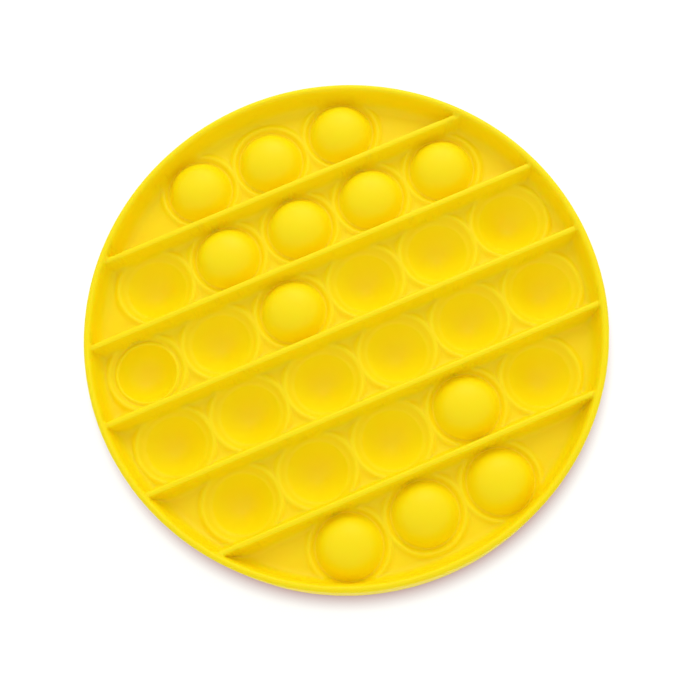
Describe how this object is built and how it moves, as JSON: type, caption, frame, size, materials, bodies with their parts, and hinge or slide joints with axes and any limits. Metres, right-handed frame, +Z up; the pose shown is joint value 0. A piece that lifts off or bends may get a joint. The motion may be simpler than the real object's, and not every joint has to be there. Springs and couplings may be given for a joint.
{
  "type": "bubble pop fidget toy",
  "caption": "Round silicone bubble pop fidget toy: rows of domes that invert when pressed, set in a web between straight ribs inside a raised rim.",
  "frame": {"origin": "Centre of the underside, on the plane the rim rests on.", "axes": "+X runs along the rows of bubbles to the picture's right, +Y points to the picture's upper edge, and +Z is up, through the board's thickness."},
  "size_m": [0.125, 0.125, 0.015],
  "materials": {
    "yellow_silicone": "smooth satin silicone, yellow right through"
  },
  "bodies": {
    "root": {"bubble_board": "yellow_silicone"}
  },
  "joints": []
}
